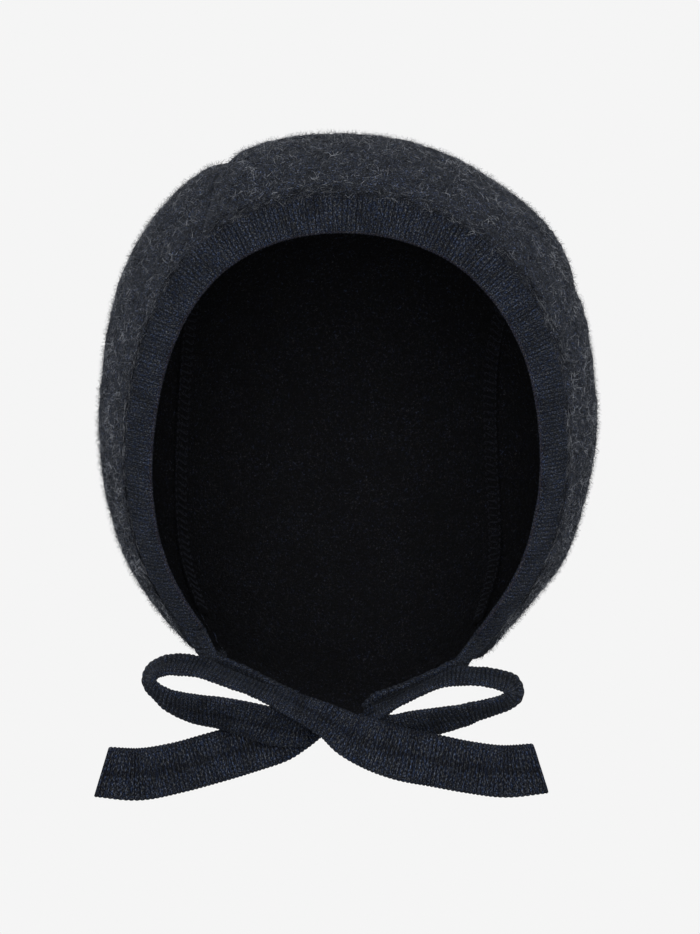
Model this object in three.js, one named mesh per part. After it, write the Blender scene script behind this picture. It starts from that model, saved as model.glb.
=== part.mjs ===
// A baby's bonnet: three panels of brushed wool, a ribbed band round the face and two
// ribbed ties knotted in a bow under the chin. Millimetres, +Z up, the face looks
// towards -Y. The origin is the inside of the crown, where the top of the head sits.
import * as THREE from 'three';

// Cloth and strip sizes.
const CLOTH = 2.6; // wall of the brushed wool
const STRIP_WIDTH = 14.7; // ribbed strip, band and ties alike
const STRIP_THICKNESS = 2.2;
const GAP = 0.35; // between neighbouring pieces
const EDGE_GAP = { seam: 0.35, band: 0.75 }; // how far a panel's edge keeps off its line
const HEM_EXTRA = 0.8; // the neck edge is turned in, so it is thicker
const HEM_DEPTH = 8;
const GROOVE_DEPTH = 1.7; // where a seam pulls the panels in
const GROOVE_WIDTH = 4.2;
const SEAM_WIDTH = 4.6; // overlocked seam allowance inside
const SEAM_THICKNESS = 1.5;

// How finely the faceted solids are cut.
const TURN_STATIONS = 1.6; // stations over which a tie turns out of the band's lie
const BAND_STEPS = 50;
const SEAM_STEPS = 30;
const CENTRE_CELLS = { across: 18, along: 32 };
const SIDE_CELLS = { across: 16, along: 16 }; // half the centre's, so seam edges match

// The worn form: its radius from the head's centre, by how far the direction points up.
const HEAD = new THREE.Vector3(0, 0, -85);
const SQUARENESS = 0.2; // over the 2 of an ellipse, at the form's waist
const FORM_STEP = 15; // degrees between the form's rows
const FORM = [
  { up: -75, left: 90.0, right: 88.0, front: 100.0, back: 113.0 },
  { up: -60, left: 79.0, right: 76.5, front: 95.0, back: 97.4 },
  { up: -45, left: 76.0, right: 72.8, front: 90.5, back: 83.2 },
  { up: -30, left: 74.6, right: 72.8, front: 90.5, back: 76.2 },
  { up: -15, left: 73.0, right: 71.7, front: 89.0, back: 72.8 },
  { up: 0, left: 72.8, right: 72.5, front: 86.0, back: 72.2 },
  { up: 15, left: 74.2, right: 74.3, front: 84.7, back: 74.8 },
  { up: 30, left: 78.9, right: 78.9, front: 82.7, back: 79.0 },
  { up: 45, left: 84.6, right: 83.8, front: 83.2, back: 84.2 },
  { up: 60, left: 87.6, right: 85.2, front: 86.0, back: 87.6 },
  { up: 75, left: 88.3, right: 86.8, front: 87.2, back: 88.0 },
  { up: 90, left: 87.6, right: 87.6, front: 87.6, back: 87.6 },
];

// The front edge of the band, from the left corner over the forehead to the right one.
const RIM = [
  { x: -43.7, y: -47.0, z: -143.4 },
  { x: -50.0, y: -51.0, z: -132.6 },
  { x: -55.2, y: -54.4, z: -118.9 },
  { x: -57.1, y: -56.8, z: -105.3 },
  { x: -56.4, y: -59.2, z: -87.0 },
  { x: -52.1, y: -60.8, z: -64.6 },
  { x: -44.5, y: -61.0, z: -47.7 },
  { x: -34.7, y: -60.6, z: -37.6 },
  { x: -19.5, y: -60.1, z: -30.8 },
  { x: -3.0, y: -60.0, z: -28.5 },
  { x: 13.3, y: -60.0, z: -30.8 },
  { x: 30.2, y: -60.6, z: -37.6 },
  { x: 40.9, y: -61.0, z: -47.7 },
  { x: 50.4, y: -60.8, z: -64.6 },
  { x: 54.5, y: -59.2, z: -87.0 },
  { x: 54.3, y: -56.8, z: -105.3 },
  { x: 51.0, y: -54.4, z: -118.9 },
  { x: 44.6, y: -51.0, z: -132.6 },
  { x: 37.6, y: -47.0, z: -143.6 },
];

// The neck edge between the band's two back corners, round the nape.
const NECK = [
  { x: -43.4, y: -10, z: -148.4 },
  { x: -42.2, y: 10, z: -151.4 },
  { x: -36.8, y: 26, z: -155.6 },
  { x: -27.8, y: 36, z: -161.0 },
  { x: -14.8, y: 44, z: -167.0 },
  { x: 0.0, y: 47.5, z: -170.4 },
  { x: 11.2, y: 45, z: -166.8 },
  { x: 21.7, y: 40, z: -161.8 },
  { x: 31.5, y: 28, z: -156.5 },
  { x: 37.2, y: 10, z: -151.4 },
  { x: 38.4, y: -10, z: -148.4 },
];

// The two seams, from the band over the head and down to the neck. The bonnet sits a
// little turned, so the right seam meets the band much lower than the left one.
const SEAM_LEFT = {
  bandShare: 0.375, // where it meets the band, from the left corner to the right
  neckShare: 0.25, // where it meets the neck edge
  route: [
    { x: -39.8, y: -30, z: -13.0 },
    { x: -35.5, y: 0, z: -4.0 },
    { x: -40.5, y: 30, z: -14.0 },
    { x: -49.0, y: 46, z: -42.0 },
    { x: -52.5, y: 50, z: -85.0 },
    { x: -48.5, y: 34, z: -128.0 },
  ],
};
const SEAM_RIGHT = {
  bandShare: 0.748,
  neckShare: 0.775,
  route: [
    { x: 63.0, y: -29, z: -58.0 },
    { x: 67.3, y: 0, z: -41.0 },
    { x: 61.5, y: 26, z: -35.0 },
    { x: 51.0, y: 45, z: -43.0 },
    { x: 45.0, y: 54, z: -62.0 },
    { x: 44.5, y: 55, z: -90.0 },
    { x: 46.0, y: 40, z: -128.0 },
  ],
};

// Soft dents in the cloth.
const DENTS = [
  { x: -52, y: -36, z: -22, radius: 9, depth: 1.4 },
  { x: -60, y: -8, z: -26, radius: 13, depth: 0.6 },
  { x: 64, y: -18, z: -38, radius: 9, depth: 1.2 },
  { x: 71, y: 2, z: -60, radius: 12, depth: 0.9 },
  { x: 10, y: 40, z: -10, radius: 16, depth: 1.2 },
  { x: -20, y: 68, z: -104, radius: 16, depth: 1.6 },
  { x: 24, y: 60, z: -132, radius: 15, depth: 1.5 },
  { x: -62, y: 24, z: -118, radius: 14, depth: 1.2 },
];

// Strips by stations along their middle line. lean is the angle by which the strip's far
// edge turns outwards: 0 is edge on from the front, 90 faces the front. slant is the
// angle by which an end is cut off square.
const FRONT_BOW = [
  { x: 54.3, y: -60.0, z: -179.9, width: 14.7, lean: 88, slant: 13 },
  { x: 44.0, y: -61.0, z: -180.7, width: 14.7, lean: 82, slant: 0 },
  { x: 34.1, y: -62.0, z: -179.5, width: 14.7, lean: 78, slant: 0 },
  { x: 24.5, y: -63.0, z: -177.6, width: 14.9, lean: 78, slant: 0 },
  { x: 15.2, y: -64.0, z: -175.7, width: 15.1, lean: 78, slant: 0 },
  { x: 7.3, y: -64.5, z: -173.1, width: 14.7, lean: 76, slant: 0 },
  { x: 0.3, y: -65.0, z: -170.2, width: 13.0, lean: 70, slant: 0 },
  { x: -5.3, y: -65.2, z: -166.6, width: 10.8, lean: 60, slant: 0 },
  { x: -11.0, y: -65.0, z: -163.8, width: 11.2, lean: 40, slant: 0 },
  { x: -18.0, y: -64.5, z: -160.6, width: 12.5, lean: 25, slant: 0 },
  { x: -25.6, y: -64.0, z: -157.6, width: 14.0, lean: 12, slant: 0 },
  { x: -34.0, y: -63.5, z: -154.4, width: 14.7, lean: 13, slant: 0 },
  { x: -40.5, y: -63.0, z: -151.8, width: 14.7, lean: 16, slant: 0 },
  { x: -46.2, y: -62.5, z: -150.6, width: 14.7, lean: 19, slant: 0 },
  { x: -51.8, y: -62.0, z: -150.9, width: 14.7, lean: 17, slant: 0 },
  { x: -55.1, y: -62.0, z: -152.6, width: 14.7, lean: 14, slant: 0 },
  { x: -56.1, y: -62.0, z: -155.3, width: 14.7, lean: 13, slant: 0 },
  { x: -53.7, y: -62.5, z: -158.4, width: 14.7, lean: 17, slant: 0 },
  { x: -49.4, y: -63.0, z: -161.1, width: 14.7, lean: 26, slant: 0 },
  { x: -43.3, y: -63.6, z: -163.0, width: 14.7, lean: 34, slant: 0 },
  { x: -35.7, y: -64.4, z: -164.2, width: 14.7, lean: 38, slant: 0 },
  { x: -27.8, y: -64.6, z: -166.0, width: 13.8, lean: 46, slant: 0 },
  { x: -21.0, y: -63.2, z: -168.0, width: 12.4, lean: 60, slant: 0 },
  { x: -16.0, y: -61.6, z: -169.2, width: 10.6, lean: 66, slant: 0 },
  { x: -11.5, y: -60.2, z: -169.2, width: 9.4, lean: 72, slant: 0 },
];
const LEFT_TAIL = [
  { x: -69.6, y: -60.0, z: -180.9, width: 14.7, lean: 88, slant: -13 },
  { x: -58.9, y: -59.5, z: -181.6, width: 14.7, lean: 84, slant: 0 },
  { x: -48.2, y: -58.5, z: -179.8, width: 14.4, lean: 80, slant: 0 },
  { x: -38.4, y: -57.4, z: -177.2, width: 14.4, lean: 82, slant: 0 },
  { x: -28.0, y: -56.6, z: -174.3, width: 14.0, lean: 88, slant: 0 },
  { x: -19.2, y: -56.4, z: -172.0, width: 12.6, lean: 90, slant: 0 },
  { x: -13.5, y: -56.4, z: -169.4, width: 10.6, lean: 90, slant: 0 },
  { x: -9.6, y: -56.4, z: -167.2, width: 9.2, lean: 90, slant: 0 },
];
const RIGHT_LOOP = [
  { x: 4.6, y: -56.2, z: -166.4, width: 8.2, lean: 20, slant: 0 },
  { x: 9.6, y: -57.6, z: -163.7, width: 11.4, lean: 10, slant: 0 },
  { x: 14.4, y: -58.8, z: -161.0, width: 14.0, lean: 3, slant: 0 },
  { x: 20.3, y: -60.0, z: -158.0, width: 14.7, lean: 2, slant: 0 },
  { x: 25.9, y: -61.0, z: -155.3, width: 14.7, lean: 7, slant: 0 },
  { x: 31.0, y: -61.5, z: -153.9, width: 14.7, lean: 15, slant: 0 },
  { x: 36.3, y: -62.0, z: -153.9, width: 14.7, lean: 15, slant: 0 },
  { x: 42.4, y: -62.0, z: -154.8, width: 14.7, lean: 17, slant: 0 },
  { x: 46.0, y: -62.0, z: -156.5, width: 14.7, lean: 20, slant: 0 },
  { x: 46.7, y: -62.0, z: -159.0, width: 14.7, lean: 20, slant: 0 },
  { x: 44.0, y: -62.0, z: -161.3, width: 14.7, lean: 18, slant: 0 },
  { x: 39.4, y: -62.0, z: -162.8, width: 14.7, lean: 19, slant: 0 },
  { x: 33.4, y: -62.0, z: -164.5, width: 14.7, lean: 24, slant: 0 },
  { x: 26.5, y: -60.6, z: -166.2, width: 14.7, lean: 30, slant: 0 },
  { x: 19.7, y: -59.3, z: -167.6, width: 14.2, lean: 35, slant: 0 },
  { x: 13.0, y: -57.6, z: -168.8, width: 12.6, lean: 38, slant: 0 },
  { x: 7.0, y: -56.4, z: -169.4, width: 11.0, lean: 50, slant: 0 },
];
const LEFT_TIE = [
  { x: -39.0, y: -40.2, z: -149.6, width: 14.7, lean: 14, slant: 0 },
  { x: -33.1, y: -41.8, z: -152.2, width: 14.7, lean: 13, slant: 0 },
  { x: -26.2, y: -44.6, z: -155.0, width: 14.7, lean: 10, slant: 0 },
  { x: -19.6, y: -47.0, z: -158.4, width: 13.0, lean: 10, slant: 0 },
  { x: -14.4, y: -48.4, z: -161.4, width: 10.6, lean: 16, slant: 0 },
];
const RIGHT_TIE = [
  { x: 32.6, y: -40.2, z: -150.2, width: 14.7, lean: 9, slant: 0 },
  { x: 26.9, y: -41.6, z: -153.0, width: 14.7, lean: 7, slant: 0 },
  { x: 20.5, y: -43.4, z: -155.7, width: 14.4, lean: 5, slant: 0 },
  { x: 13.1, y: -44.8, z: -158.8, width: 12.6, lean: 6, slant: 0 },
  { x: 7.8, y: -45.3, z: -161.2, width: 11.2, lean: 10, slant: 0 },
  { x: 5.0, y: -45.8, z: -164.4, width: 10.0, lean: 14, slant: 0 },
];

// The lump of the knot behind the front strip, pinched round its waist.
const KNOT = {
  centre: new THREE.Vector3(-5.2, -50.4, -166.9),
  half: new THREE.Vector3(7.6, 4.2, 4.0),
  waist: 0.16,
};

// Half sections of a strip, as shares of its width and thickness: the outer side from
// the front edge to the back edge. The tie has a lengthwise crease, the seam has none.
const CREASED = [
  { across: -0.5, up: 0.0 },
  { across: -0.465, up: 0.36 },
  { across: -0.28, up: 0.5 },
  { across: 0.03, up: 0.34 },
  { across: 0.3, up: 0.5 },
  { across: 0.465, up: 0.36 },
];
const PLAIN = [
  { across: -0.5, up: 0.0 },
  { across: -0.4, up: 0.45 },
  { across: 0.4, up: 0.45 },
];

const DEGREE = Math.PI / 180;
const BACK = new THREE.Vector3(0, 1, 0);

function cubic(a, b, c, d, t) {
  // Catmull-Rom blend from b to c.
  const slopes = (c - a) * t + (2 * a - 5 * b + 4 * c - d) * t * t;
  return b + 0.5 * (slopes + (3 * b - a - 3 * c + d) * t * t * t);
}

function column(rows, name, place) {
  // A table's column at a place counted in rows, read smoothly.
  const last = rows.length - 1;
  const i = Math.min(Math.max(Math.floor(place), 0), last - 1);
  const pick = (k) => rows[Math.min(Math.max(k, 0), last)][name];
  return cubic(pick(i - 1), pick(i), pick(i + 1), pick(i + 2), place - i);
}

// One more row past the pole, the far side's, keeps the crown smooth there.
const { left, right, front, back } = FORM[FORM.length - 2];
const FORM_ROWS = [...FORM, { left: right, right: left, front: back, back: front }];

function formRadius(d) {
  const place = (Math.asin(THREE.MathUtils.clamp(d.z, -1, 1)) / DEGREE - FORM[0].up) / FORM_STEP;
  const level = Math.hypot(d.x, d.y) || 1;
  const side = column(FORM_ROWS, d.x < 0 ? 'left' : 'right', place);
  const deep = column(FORM_ROWS, d.y < 0 ? 'front' : 'back', place);
  const power = 2 + SQUARENESS * level * level;
  const sideways = (Math.abs(d.x) / level / side) ** power;
  const lengthways = (Math.abs(d.y) / level / deep) ** power;
  return (sideways + lengthways) ** (-1 / power);
}

function formPoint(d) {
  return HEAD.clone().addScaledVector(d, formRadius(d));
}

function toward(p) {
  return p.clone().sub(HEAD).normalize();
}

function onForm(p) {
  return formPoint(toward(p));
}

function formNormal(d) {
  const a = new THREE.Vector3().crossVectors(d, Math.abs(d.x) < 0.9
    ? new THREE.Vector3(1, 0, 0) : new THREE.Vector3(0, 0, 1)).normalize();
  const b = new THREE.Vector3().crossVectors(d, a);
  const step = 0.01;
  const along = (v, s) => formPoint(d.clone().addScaledVector(v, s).normalize());
  const da = along(a, step).sub(along(a, -step));
  const db = along(b, step).sub(along(b, -step));
  const n = da.cross(db).normalize();
  return n.dot(d) < 0 ? n.negate() : n;
}

function smoothCurve(rows) {
  return new THREE.CatmullRomCurve3(rows.map((r) => new THREE.Vector3(r.x, r.y, r.z)));
}

// The band's front and back edges on the form, u from the left corner to the right one.
const rimCurve = smoothCurve(RIM);

function rimPoint(u) {
  return onForm(rimCurve.getPointAt(THREE.MathUtils.clamp(u, 0, 1)));
}

function bandBack(u) {
  const front = rimPoint(u);
  const step = 0.004;
  const along = rimPoint(u + step).sub(rimPoint(u - step)).normalize();
  const back = formNormal(toward(front)).cross(along).normalize();
  if (back.y < 0) back.negate();
  const half = onForm(front.clone().addScaledVector(back, STRIP_WIDTH / 2));
  const next = formNormal(toward(half)).cross(along).normalize();
  if (next.y < 0) next.negate();
  return onForm(half.addScaledVector(next, STRIP_WIDTH / 2));
}

// The neck edge on the form, between the band's back corners.
const neckCurve = smoothCurve([bandBack(0), ...NECK, bandBack(1)]);

function neckPoint(u) {
  return onForm(neckCurve.getPointAt(u));
}

function seamCurve(seam) {
  return smoothCurve([bandBack(seam.bandShare), ...seam.route, neckPoint(seam.neckShare)]);
}

const leftSeam = seamCurve(SEAM_LEFT);
const rightSeam = seamCurve(SEAM_RIGHT);

function sampled(curve, count) {
  return Array.from({ length: count + 1 }, (_, i) => onForm(curve.getPointAt(i / count)));
}

const SEAM_LINES = [sampled(leftSeam, 80), sampled(rightSeam, 80)];
const NECK_LINE = sampled(neckCurve, 80);

function nearest(p, line) {
  return Math.sqrt(Math.min(...line.map((q) => p.distanceToSquared(q))));
}

function pressedIn(p) {
  // How far seams and dents pull the cloth inwards at a point.
  const seam = Math.min(...SEAM_LINES.map((line) => nearest(p, line)));
  let depth = GROOVE_DEPTH * Math.exp(-((seam / GROOVE_WIDTH) ** 2));
  for (const dent of DENTS) {
    const away = p.distanceTo(onForm(new THREE.Vector3(dent.x, dent.y, dent.z)));
    depth += dent.depth * Math.exp(-((away / dent.radius) ** 2));
  }
  return depth;
}

function wallAt(p) {
  // The cloth's thickness: more along the turned-in neck edge.
  const share = Math.max(0, 1 - nearest(p, NECK_LINE) / HEM_DEPTH);
  return CLOTH + HEM_EXTRA * share * share * (3 - 2 * share);
}

// Closed solids from rings or sheets of points.
function solid(name, points, triangles, material) {
  let volume = 0;
  for (const [a, b, c] of triangles) {
    volume += points[a].dot(new THREE.Vector3().crossVectors(points[b], points[c]));
  }
  const outward = volume > 0 ? triangles : triangles.map(([a, b, c]) => [a, c, b]);
  const geometry = new THREE.BufferGeometry();
  const flat = points.flatMap((p) => [p.x, p.y, p.z]);
  geometry.setAttribute('position', new THREE.Float32BufferAttribute(flat, 3));
  geometry.setIndex(outward.flat());
  geometry.computeVertexNormals();
  const mesh = new THREE.Mesh(geometry, material);
  mesh.name = name;
  return mesh;
}

function quad(triangles, a, b, c, d) {
  triangles.push([a, b, c], [a, c, d]);
}

// A cloth panel: an outer sheet, an inner sheet and a strip round their edge.
function panel(name, direction, cells, material) {
  const outer = [];
  const inner = [];
  for (let j = 0; j <= cells.along; j++) {
    for (let i = 0; i <= cells.across; i++) {
      const d = direction(i / cells.across, j / cells.along);
      const p = formPoint(d);
      const n = formNormal(d);
      const top = p.clone().addScaledVector(n, -pressedIn(p));
      outer.push(top);
      inner.push(top.clone().addScaledVector(n, -wallAt(p)));
    }
  }
  const size = outer.length;
  const row = cells.across + 1;
  const at = (i, j) => j * row + i;
  const triangles = [];
  for (let j = 0; j < cells.along; j++) {
    for (let i = 0; i < cells.across; i++) {
      const [a, b, c, d] = [at(i, j), at(i + 1, j), at(i + 1, j + 1), at(i, j + 1)];
      quad(triangles, a, b, c, d);
      quad(triangles, d + size, c + size, b + size, a + size);
    }
  }
  const edge = [];
  for (let i = 0; i < cells.across; i++) edge.push(at(i, 0));
  for (let j = 0; j < cells.along; j++) edge.push(at(cells.across, j));
  for (let i = cells.across; i > 0; i--) edge.push(at(i, cells.along));
  for (let j = cells.along; j > 0; j--) edge.push(at(0, j));
  edge.forEach((a, k) => {
    const b = edge[(k + 1) % edge.length];
    quad(triangles, b, a, a + size, b + size);
  });
  return solid(name, [...outer, ...inner], triangles, material);
}

function inset(share, first, last) {
  // A share from 0 to 1, kept a little off its two ends.
  return first + share * (1 - first - last);
}

function mix(a, b, t) {
  return a.clone().lerp(b, t);
}

// The long panel over the crown and down the back, between the two seams.
function centreDirection(across, along) {
  const p = inset(across, EDGE_GAP.seam / 105, EDGE_GAP.seam / 105);
  const q = inset(along, EDGE_GAP.band / 260, 0);
  const bandAt = (s) => {
    return bandBack(SEAM_LEFT.bandShare + s * (SEAM_RIGHT.bandShare - SEAM_LEFT.bandShare));
  };
  const neckAt = (s) => {
    return neckPoint(SEAM_LEFT.neckShare + s * (SEAM_RIGHT.neckShare - SEAM_LEFT.neckShare));
  };
  const [onLeft, onRight] = [leftSeam, rightSeam].map((c) => toward(c.getPointAt(q)));
  const d = mix(onLeft, onRight, p);
  const frontPull = toward(bandAt(p)).sub(mix(toward(bandAt(0)), toward(bandAt(1)), p));
  const neckPull = toward(neckAt(p)).sub(mix(toward(neckAt(0)), toward(neckAt(1)), p));
  d.addScaledVector(frontPull, (1 - q) ** 2);
  d.addScaledVector(neckPull, q ** 2);
  return d.normalize();
}

// A side panel, from the band back to its seam and up from the neck edge.
function sideDirection(seam, curve, corner) {
  const towardEnd = (share, end) => corner + share * (end - corner);
  const bottom = (p) => toward(neckPoint(towardEnd(p, seam.neckShare)));
  const fore = (q) => toward(bandBack(towardEnd(q, seam.bandShare)));
  const top = (p) => toward(curve.getPointAt(p / 2));
  const rear = (q) => toward(curve.getPointAt(1 - q / 2));
  return (across, along) => {
    const p = inset(across, EDGE_GAP.band / 90, EDGE_GAP.seam / 90);
    const q = inset(along, 0, EDGE_GAP.seam / 90);
    const rails = mix(bottom(p), top(p), q).add(mix(fore(q), rear(q), p));
    const ends = mix(mix(bottom(0), bottom(1), p), mix(top(0), top(1), p), q);
    return rails.sub(ends).normalize();
  };
}

// A strip swept through frames, each with a middle, the direction across, the outer
// side, its width and how far its middle line rises above its edges.
function strip(name, frames, half, thickness, material) {
  const under = half.map((s) => ({ across: -s.across, up: -s.up }));
  const section = [...half, ...under];
  const points = [];
  for (const f of frames) {
    for (const s of section) {
      const rise = thickness * s.up + f.crown * (1 - 4 * s.across * s.across);
      points.push(f.middle.clone()
        .addScaledVector(f.across, f.width * s.across)
        .addScaledVector(f.outer, rise));
    }
  }
  const n = section.length;
  const triangles = [];
  for (let j = 0; j < frames.length - 1; j++) {
    for (let i = 0; i < n; i++) {
      const next = (i + 1) % n;
      quad(triangles, j * n + i, j * n + next, (j + 1) * n + next, (j + 1) * n + i);
    }
  }
  const end = (frames.length - 1) * n;
  for (let i = 1; i < n / 2; i++) {
    const [a, b] = [i, n - i];
    const [c, d] = [i - 1, (n - i + 1) % n];
    triangles.push([a, c, d]);
    triangles.push([end + a, end + d, end + c]);
    triangles.push([a, d, b]);
    triangles.push([end + a, end + b, end + d]);
  }
  triangles.push([n / 2 - 1, n / 2 + 1, n / 2]);
  triangles.push([end + n / 2 - 1, end + n / 2, end + n / 2 + 1]);
  return solid(name, points, triangles, material);
}

function bandFrame(u) {
  const front = rimPoint(u);
  const back = bandBack(u);
  const middle = mix(front, back, 0.5);
  const across = back.clone().sub(front);
  const width = across.length();
  across.normalize();
  const outer = formNormal(toward(middle));
  outer.addScaledVector(across, -outer.dot(across)).normalize();
  const crown = onForm(middle).sub(middle).dot(outer);
  middle.addScaledVector(outer, -STRIP_THICKNESS / 2);
  return { middle, across, outer, width, crown };
}

function tieFrames(stations, side, steps, start) {
  // side is 1 where the outer side is on the left of the route, -1 where on the right.
  const rows = start ? [{ ...stations[0], ...start.place }, ...stations] : stations;
  const curve = smoothCurve(rows);
  return Array.from({ length: steps + 1 }, (_, k) => {
    const t = curve.getUtoTmapping(k / steps);
    const place = t * (rows.length - 1);
    const along = curve.getTangent(t);
    const back = BACK.clone().addScaledVector(along, -along.y).normalize();
    const out = new THREE.Vector3().crossVectors(back, along).multiplyScalar(side);
    const lean = column(rows, 'lean', place) * DEGREE;
    const across = back.multiplyScalar(Math.cos(lean)).addScaledVector(out, Math.sin(lean));
    const outer = new THREE.Vector3().crossVectors(across, along).multiplyScalar(side);
    across.applyAxisAngle(outer, column(rows, 'slant', place) * DEGREE);
    if (start) {
      const own = THREE.MathUtils.smoothstep(place, 0, TURN_STATIONS);
      across.lerp(start.across, 1 - own).normalize();
      outer.lerp(start.outer, 1 - own).addScaledVector(across, -outer.dot(across)).normalize();
    }
    const width = column(rows, 'width', place);
    return { middle: curve.getPoint(t), across, outer, width, crown: 0 };
  });
}

function tieStart(u) {
  // The tie goes on where the band ends, a small gap away and turned the same way.
  const f = bandFrame(u);
  const inside = bandFrame(Math.abs(u - 0.01));
  const along = f.middle.clone().sub(inside.middle).normalize();
  const { x, y, z } = f.middle.addScaledVector(along, GAP);
  return { place: { x, y, z }, across: f.across, outer: f.outer };
}

// The overlocked allowance along a seam, inside the bonnet.
function seamFrame(curve, t) {
  const d = toward(curve.getPointAt(t));
  const p = formPoint(d);
  const outer = formNormal(d);
  const step = 0.004;
  const ahead = onForm(curve.getPointAt(Math.min(t + step, 1)));
  const along = ahead.sub(onForm(curve.getPointAt(Math.max(t - step, 0)))).normalize();
  const across = new THREE.Vector3().crossVectors(along, outer).normalize();
  const depth = pressedIn(p) + CLOTH + GAP * 2 + SEAM_THICKNESS / 2;
  const middle = p.addScaledVector(outer, -depth);
  return { middle, across, outer, width: SEAM_WIDTH, crown: 0 };
}

function knot(material) {
  const ball = new THREE.SphereGeometry(1, 16, 10);
  const position = ball.attributes.position;
  const points = [];
  const index = [];
  const seen = new Map();
  for (let i = 0; i < position.count; i++) {
    const p = new THREE.Vector3().fromBufferAttribute(position, i);
    const key = p.toArray().map((v) => Math.round(v * 1e4) + 0).join();
    if (!seen.has(key)) {
      seen.set(key, points.length);
      const waist = 1 - KNOT.waist * Math.exp(-((p.x / 0.3) ** 2));
      const soft = p.clone().multiply(new THREE.Vector3(1, waist, waist));
      points.push(soft.multiply(KNOT.half).add(KNOT.centre));
    }
    index.push(seen.get(key));
  }
  const triangles = [];
  for (let i = 0; i < ball.index.count; i += 3) {
    const t = [0, 1, 2].map((k) => index[ball.index.getX(i + k)]);
    if (new Set(t).size === 3) triangles.push(t);
  }
  return solid('bow_knot', points, triangles, material);
}

// Finishes.
const wool = { color: 0x303338, roughness: 0.95, metalness: 0 };
const rib = { color: 0x21242c, roughness: 0.9, metalness: 0 };
const finish = (look) => new THREE.MeshStandardMaterial(look);

const bonnet = new THREE.Group();
bonnet.add(panel('crown_panel', centreDirection, CENTRE_CELLS, finish(wool)));
bonnet.add(panel('side_panel_left', sideDirection(SEAM_LEFT, leftSeam, 0), SIDE_CELLS, finish(wool)));
bonnet.add(panel('side_panel_right', sideDirection(SEAM_RIGHT, rightSeam, 1), SIDE_CELLS, finish(wool)));

const bandFrames = Array.from({ length: BAND_STEPS + 1 }, (_, k) => bandFrame(k / BAND_STEPS));
bonnet.add(strip('face_band', bandFrames, CREASED, STRIP_THICKNESS, finish(rib)));

for (const [name, curve] of [['seam_left', leftSeam], ['seam_right', rightSeam]]) {
  const frames = Array.from({ length: SEAM_STEPS + 1 }, (_, k) => {
    return seamFrame(curve, 0.02 + 0.95 * k / SEAM_STEPS);
  });
  bonnet.add(strip(name, frames, PLAIN, SEAM_THICKNESS, finish(wool)));
}

const strips = [
  { name: 'tie_left', rows: LEFT_TIE, side: 1, steps: 14, band: 0 },
  { name: 'tie_right', rows: RIGHT_TIE, side: -1, steps: 14, band: 1 },
  { name: 'bow_front', rows: FRONT_BOW, side: 1, steps: 44 },
  { name: 'tail_left', rows: LEFT_TAIL, side: -1, steps: 15 },
  { name: 'loop_right', rows: RIGHT_LOOP, side: -1, steps: 28 },
];
for (const s of strips) {
  const start = s.band === undefined ? undefined : tieStart(s.band);
  const frames = tieFrames(s.rows, s.side, s.steps, start);
  bonnet.add(strip(s.name, frames, CREASED, STRIP_THICKNESS, finish(rib)));
}
bonnet.add(knot(finish(rib)));

export default bonnet;
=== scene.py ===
# A baby's bonnet of dark brushed wool. Three felted panels with a hairy nap, a ribbed
# band round the face, ribbed ties tied in a bow, and overlocked seams inside.
import math

import bmesh
import bpy
import numpy as np
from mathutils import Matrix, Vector


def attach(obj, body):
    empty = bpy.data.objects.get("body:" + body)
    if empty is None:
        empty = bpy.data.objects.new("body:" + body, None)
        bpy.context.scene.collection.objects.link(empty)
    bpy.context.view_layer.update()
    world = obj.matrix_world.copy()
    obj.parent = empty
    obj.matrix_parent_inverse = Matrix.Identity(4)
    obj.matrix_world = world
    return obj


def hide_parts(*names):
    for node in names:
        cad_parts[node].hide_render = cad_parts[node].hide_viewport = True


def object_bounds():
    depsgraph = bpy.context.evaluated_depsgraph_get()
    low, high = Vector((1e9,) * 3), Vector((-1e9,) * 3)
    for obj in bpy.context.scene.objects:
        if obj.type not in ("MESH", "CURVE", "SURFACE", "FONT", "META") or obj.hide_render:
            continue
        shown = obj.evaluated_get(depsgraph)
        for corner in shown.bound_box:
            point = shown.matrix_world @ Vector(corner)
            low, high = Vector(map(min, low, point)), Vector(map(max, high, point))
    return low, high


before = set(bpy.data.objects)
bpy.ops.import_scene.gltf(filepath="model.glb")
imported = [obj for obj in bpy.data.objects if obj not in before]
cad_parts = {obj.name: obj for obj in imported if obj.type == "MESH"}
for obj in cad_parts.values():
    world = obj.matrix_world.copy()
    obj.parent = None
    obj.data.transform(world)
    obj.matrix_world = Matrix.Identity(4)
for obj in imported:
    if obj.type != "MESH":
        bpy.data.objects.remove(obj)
cad_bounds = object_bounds()

MM = 0.001  # lengths below are in millimetres, meshes in metres

# Cloth and strip sizes.
CLOTH = 2.6  # wall of the brushed wool
STRIP_WIDTH = 14.7  # ribbed strip, band and ties alike
STRIP_THICKNESS = 2.2
GAP = 0.35  # between the band's end and a tie
SEAM_WIDTH = 4.6  # overlocked seam allowance inside
SEAM_THICKNESS = 1.5
RIB_PITCH = 1.17  # from one wale of the rib to the next
RIB_DEPTH = 0.46
SCALLOP = 0.32  # how far a wale stands out at a strip's edge
STATIONS_PER_RIB = 6
GATHER = 0.5  # height of the folds where a strip is bunched
HEM = {"line": 4.2, "width": 0.35, "depth": 0.38, "turned": 0.12}  # line: from a tie's end
HAIR_SHARE = 1.0  # share of each nap that is made
STITCH = 2.3  # from one stitch of an overlocked seam to the next
SEAM_SPAN = (0.02, 0.91)  # where a seam starts and how much of its line it takes, as shares
THREAD_SPAN = (0.025, 0.90)  # the same for its threads
GROOVE = {"depth": 1.2, "width": 4.2}  # where a seam pulls the panels in
CREASE = {"depth": 0.4, "width": 1.2}  # and its sharp middle
NECK_FOLD = {"depth": 0.5, "width": 1.0, "inset": 8.0}  # line of the turned neck edge


def table(columns, *rows):
    """A table of numbers by column name."""
    return dict(zip(columns.split(), np.array(rows, float).T))


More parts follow.
